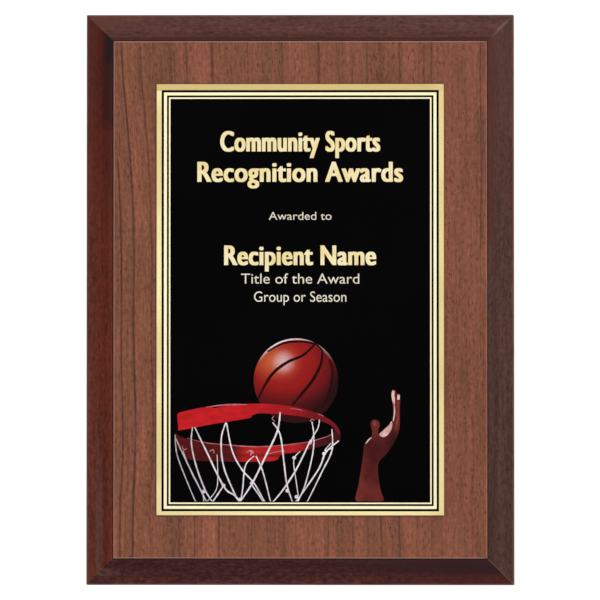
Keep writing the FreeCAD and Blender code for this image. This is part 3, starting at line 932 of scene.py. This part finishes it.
# The net's cords from the hoop down to the edge of the picture, with their
# thickness, in mm.
NET = (
    ([(-66.2, -71.6), (-65.2, -82.0), (-60.4, -95.0), (-55.2, -107.4)], 0.75),
    ([(-65.8, -73.6), (-61.0, -84.0), (-55.6, -95.0), (-49.4, -107.4)], 0.8),
    ([(-57.0, -67.6), (-57.6, -76.0), (-55.2, -87.6), (-50.4, -100.6), (-46.2, -107.4)], 0.9),
    ([(-55.8, -67.6), (-50.0, -79.6), (-40.4, -99.0), (-34.8, -103.6), (-32.0, -107.4)], 1.0),
    ([(-39.4, -65.2), (-41.8, -74.0), (-40.6, -88.0), (-35.0, -102.0), (-31.6, -107.4)], 0.9),
    ([(-39.0, -65.2), (-36.0, -80.0), (-30.8, -90.0), (-24.4, -97.2), (-18.6, -107.4)], 0.9),
    ([(-10.6, -59.6), (-12.2, -70.0), (-18.8, -84.0), (-25.8, -98.0), (-32.2, -107.4)], 1.1),
    ([(-14.6, -65.0), (-10.6, -71.6), (-8.6, -86.0), (-7.0, -98.0), (-4.0, -107.4)], 0.9),
    ([(5.6, -74.2), (-1.6, -89.0), (-8.6, -100.0), (-14.6, -107.4)], 1.0),
    ([(6.2, -64.6), (7.2, -71.8), (6.6, -81.8), (2.6, -98.0), (-1.4, -107.4)], 0.8),
    ([(10.2, -63.6), (9.4, -68.0), (6.6, -72.8), (5.6, -76.6)], 0.7),
    ([(16.8, -68.6), (16.8, -79.8), (11.6, -91.0), (3.6, -107.4)], 0.8),
    ([(20.4, -74.8), (13.6, -80.8), (9.6, -90.0), (-2.4, -107.4)], 1.0),
    ([(-44.0, -82.0), (-43.6, -94.0), (-44.6, -101.0), (-49.6, -107.4)], 0.5),
    ([(-24.4, -82.8), (-29.0, -88.0), (-30.4, -100.0), (-31.6, -107.4)], 0.8),
    ([(-23.4, -82.8), (-19.8, -91.0), (-15.6, -107.4)], 0.8),
    ([(0.0, -80.4), (-3.4, -85.0), (-2.0, -97.0), (-1.0, -104.0)], 0.6),
    ([(-40.6, -98.6), (-44.6, -104.6), (-46.6, -107.4)], 0.9),
    ([(-26.0, -97.6), (-21.4, -104.0), (-19.4, -107.4)], 0.8),
    ([(-62.0, -80.0), (-57.4, -92.0), (-52.0, -102.0), (-51.0, -107.4)], 0.5),
    ([(16.4, -76.0), (13.0, -80.0), (17.6, -78.4)], 0.6),
)


def print_net():
    cords = [stroke(points, 0.9 * thick, 0.75, 0.10) for points, thick in NET]
    knots = ((-40.6, -98.4), (-25.6, -97.2), (-51.0, -101.6), (-6.8, -101.2), (-2.0, -104.4),
             (-31.8, -105.8), (-3.2, -83.8), (12.6, -81.6))
    cords += [disc(x, z, 1.0, 12) for x, z in knots]
    ink("print_net", cords, 4, cord_ink(), floor=PICTURE_FLOOR)


def print_arm():
    arm = smooth_run([
        (29.9, -107.4), (30.9, -98.0), (32.2, -89.6), (33.2, -82.8), (33.7, -77.8),
        (34.6, -75.2), (37.0, -72.9), (38.0, -71.6), (37.8, -68.6), (37.1, -66.0),
        (38.0, -64.1), (39.9, -63.6), (41.6, -64.6), (42.1, -66.6), (41.3, -69.1),
        (41.4, -71.2), (43.6, -69.2), (46.7, -66.4), (48.7, -63.6), (49.2, -60.5),
        (49.0, -56.5), (48.4, -52.4), (48.0, -49.4), (48.7, -47.9), (49.7, -47.6),
        (50.6, -48.4), (51.0, -49.9), (51.8, -49.7), (52.8, -50.4), (53.0, -52.4),
        (52.8, -56.5), (52.7, -61.5), (52.7, -65.6), (52.2, -69.6), (50.7, -73.7),
        (48.4, -77.8), (45.6, -81.8), (42.1, -85.4), (41.1, -88.9), (41.6, -95.0),
        (42.6, -101.1), (43.6, -107.4),
    ], 4, closed=True)
    ink("print_arm", [area(arm)], 1, skin_ink(), floor=PICTURE_FLOOR)
    palm = smooth_run([(41.8, -71.4), (43.8, -69.4), (46.8, -66.6), (48.4, -64.4), (48.6, -67.6),
                       (46.6, -71.4), (44.0, -72.8)], 4, closed=True)
    light = [
        area(palm),
        stroke([(49.4, -48.3), (49.1, -51.0), (49.7, -55.0)], 1.5, 0.8),
        stroke([(49.7, -55.0), (49.9, -60.0), (49.2, -64.4)], 0.7, 0.6),
        stroke([(52.1, -50.4), (51.9, -53.0)], 1.4, 0.8),
        stroke([(34.7, -76.4), (36.2, -74.3), (37.8, -73.0)], 0.6, 0.4),
    ]
    ink("print_arm_light", light, 2,
        plain_ink("skin_light_ink", tone(232, 206, 198), tone(204, 150, 140)))
    warm = [
        stroke([(51.8, -53.0), (51.8, -58.0), (51.4, -64.0), (50.4, -69.0)], 0.9, 0.5),
        disc(39.6, -65.6, 1.3, 20),
    ]
    ink("print_arm_warm", warm, 2,
        plain_ink("skin_warm_ink", tone(140, 66, 60), tone(110, 44, 40)))


# ---------------------------------------------------------------- dressing the frame

def dress(material, *nodes):
    for node in nodes:
        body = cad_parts[node]
        if not body.material_slots:
            body.data.materials.append(material)
        for place in body.material_slots:
            place.material = material


def dress_frame():
    dress(fibreboard(), "core_board")
    dress(walnut_veneer(), "face_veneer")
    dress(liner_paper(), "back_liner")
    # Painted light: one wood in four coloured copies, the top and right lighter and greyer as if
    # lit from the upper right, the left redder and the bottom darkest.
    dress(moulding("moulding_left", "left", tone(93, 48, 36), tone(97, 44, 31),
                   tone(99, 43, 29)), "edge_moulding_left")
    dress(moulding("moulding_top", "top", tone(88, 56, 51), tone(91, 57, 52),
                   tone(83, 50, 44)), "edge_moulding_top")
    dress(moulding("moulding_right", "right", tone(79, 53, 47), tone(78, 53, 47),
                   tone(73, 47, 41)), "edge_moulding_right")
    dress(moulding("moulding_bottom", "bottom", tone(73, 36, 33), tone(66, 32, 31),
                   tone(64, 28, 27)), "edge_moulding_bottom")
    dress(adhesive(), "plate_tape")
    dress(gold_plate(), "award_plate")
    dress(black_ink(), "outer_line_print", "inner_line_print", "field_print")
    dress(zinc_steel(), "keyhole_hanger_portrait", "keyhole_hanger_landscape")
    dress(screw_steel(), "hanger_screw_portrait_left", "hanger_screw_portrait_right",
          "hanger_screw_landscape_upper", "hanger_screw_landscape_lower")


# ---------------------------------------------------------------- studio

def aim(thing, place, target):
    way = Vector(target) - Vector(place)
    thing.location = place
    thing.rotation_euler = way.to_track_quat("-Z", "Y").to_euler()


def softbox(name, place, size, power, target=(0.0, 0.0, 0.0)):
    light = bpy.data.lights.new(name, "AREA")
    light.shape = "RECTANGLE"
    light.size, light.size_y = size
    light.energy = power
    lamp = bpy.data.objects.new(name, light)
    bpy.context.collection.objects.link(lamp)
    aim(lamp, place, target)


FRONT_GLOW = 0.30
BACK_GLOW = 1.05
FLOOR_Z = -0.55


def studio():
    world = bpy.data.worlds.new("studio")
    bpy.context.scene.world = world
    world.use_nodes = True
    tree = world.node_tree
    tree.nodes.clear()
    way = tree.nodes.new("ShaderNodeTexCoord")
    apart = tree.nodes.new("ShaderNodeSeparateXYZ")
    fade = tree.nodes.new("ShaderNodeMapRange")
    glow = tree.nodes.new("ShaderNodeBackground")
    glow.inputs["Color"].default_value = (1.0, 1.0, 1.0, 1.0)
    end = tree.nodes.new("ShaderNodeOutputWorld")
    fade.interpolation_type = "SMOOTHSTEP"
    for socket, number in zip(list(fade.inputs)[1:5], (-0.35, 0.25, FRONT_GLOW, BACK_GLOW)):
        socket.default_value = number
    tree.links.new(way.outputs["Generated"], apart.inputs[0])
    tree.links.new(apart.outputs["Y"], fade.inputs[0])
    tree.links.new(fade.outputs[0], glow.inputs["Strength"])
    tree.links.new(glow.outputs[0], end.inputs["Surface"])

    softbox("key", (0.9, -1.3, 1.5), (1.4, 1.2), 19)
    softbox("side", (1.7, -0.8, 0.1), (1.4, 1.6), 5)
    softbox("front", (-0.3, -2.4, 0.3), (2.0, 1.6), 14)


def floor():
    """A pale round floor whose far side fades into the white surroundings."""
    s = Shader("floor")
    apart = s.math("SQRT", s.math("ADD", s.math("POWER", s.x, 2.0), s.math("POWER", s.y, 2.0)))
    speck = s.noise(s.place, (40, 40, 40), detail=4.0)
    colour = s.blend(speck, tone(226, 225, 222), tone(232, 231, 229))
    rim = s.span(apart, 0.7, 1.8)
    far = s.span(s.y, -0.6, 0.9, 0.0, 0.55)
    # Painted light: the floor's far side glows, an emission that makes it as white as the
    # backdrop.
    s.surface.inputs["Emission Color"].default_value = (1.0, 1.0, 1.0, 1.0)
    s.feed(s.surface.inputs["Emission Strength"], s.times(rim, far))
    s.bump(speck, 0.1 * MM, 0.2)
    material = s.finish(colour, 0.8, specular=0.1)
    mesh = bpy.data.meshes.new("floor")
    made = bmesh.new()
    bmesh.ops.create_circle(made, cap_ends=True, radius=1.9, segments=128)
    made.to_mesh(mesh)
    made.free()
    mesh.materials.append(material)
    ground = bpy.data.objects.new("floor", mesh)
    ground.location = (0.0, 0.0, FLOOR_Z)
    bpy.context.collection.objects.link(ground)


def camera():
    """Seen from straight in front, a touch to the right and below."""
    distance = 1.0685
    azimuth = math.radians(0.3)
    elevation = math.radians(-0.5)
    middle = Vector((-0.00015, -0.0072, -0.0002))
    away = Vector((
        math.sin(azimuth) * math.cos(elevation),
        -math.cos(azimuth) * math.cos(elevation),
        math.sin(elevation),
    ))
    lens = bpy.data.cameras.new("camera")
    lens.lens = 120
    lens.sensor_width = 36
    lens.clip_start = 0.05
    eye = bpy.data.objects.new("camera", lens)
    bpy.context.collection.objects.link(eye)
    aim(eye, middle + away * distance, middle)
    bpy.context.scene.camera = eye


bpy.context.scene.view_settings.view_transform = "Standard"
dress_frame()
print_lettering()
print_ball()
print_hoop()
print_net()
print_arm()
studio()
floor()
camera()
